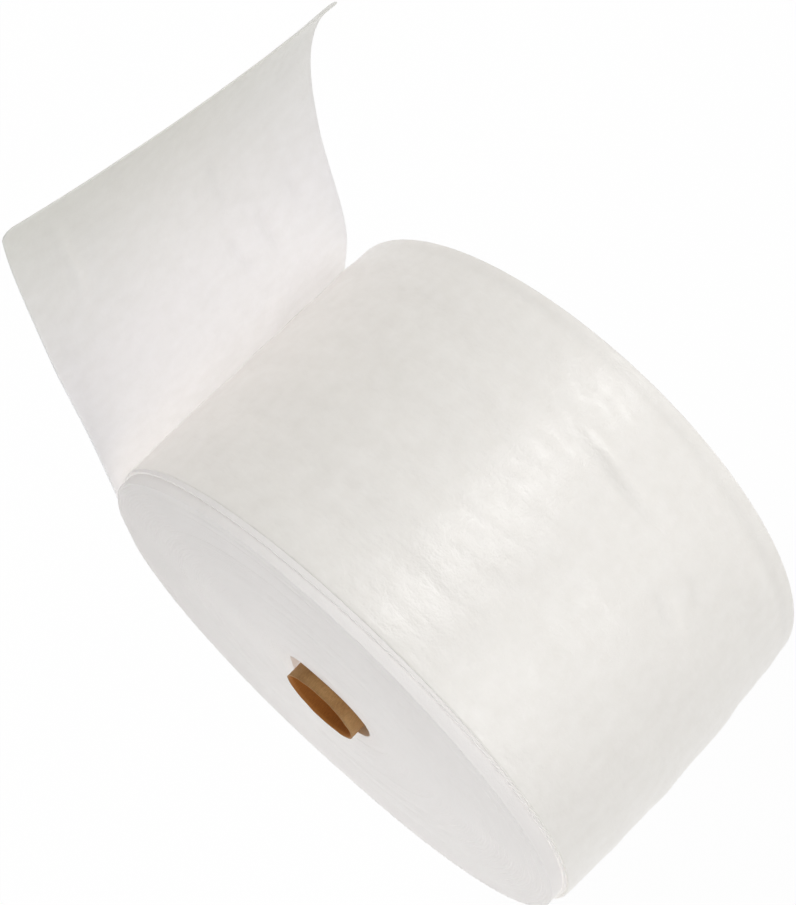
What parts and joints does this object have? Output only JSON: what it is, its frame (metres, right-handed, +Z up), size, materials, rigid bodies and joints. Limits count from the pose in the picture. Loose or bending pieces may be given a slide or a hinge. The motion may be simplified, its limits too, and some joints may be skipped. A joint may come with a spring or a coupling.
{
  "type": "foam wrap roll",
  "caption": "Roll of thin white polyethylene foam wrap on a cardboard core, lying on its side with its free end unrolled in front.",
  "frame": {"origin": "on the floor, in the middle of the roll's flat spot, under the middle of its axis", "axes": "+X along the roll's axis towards the end that shows the core, -Y towards the free end of the web, +Z up"},
  "size_m": [0.329, 0.761, 0.5384],
  "materials": {
    "core_card": "matt brown kraft board, spiral wound",
    "foam": "soft satin skin over fine closed cells"
  },
  "bodies": {
    "root": {"core_tube": "core_card", "foam_web": "foam"}
  },
  "joints": []
}
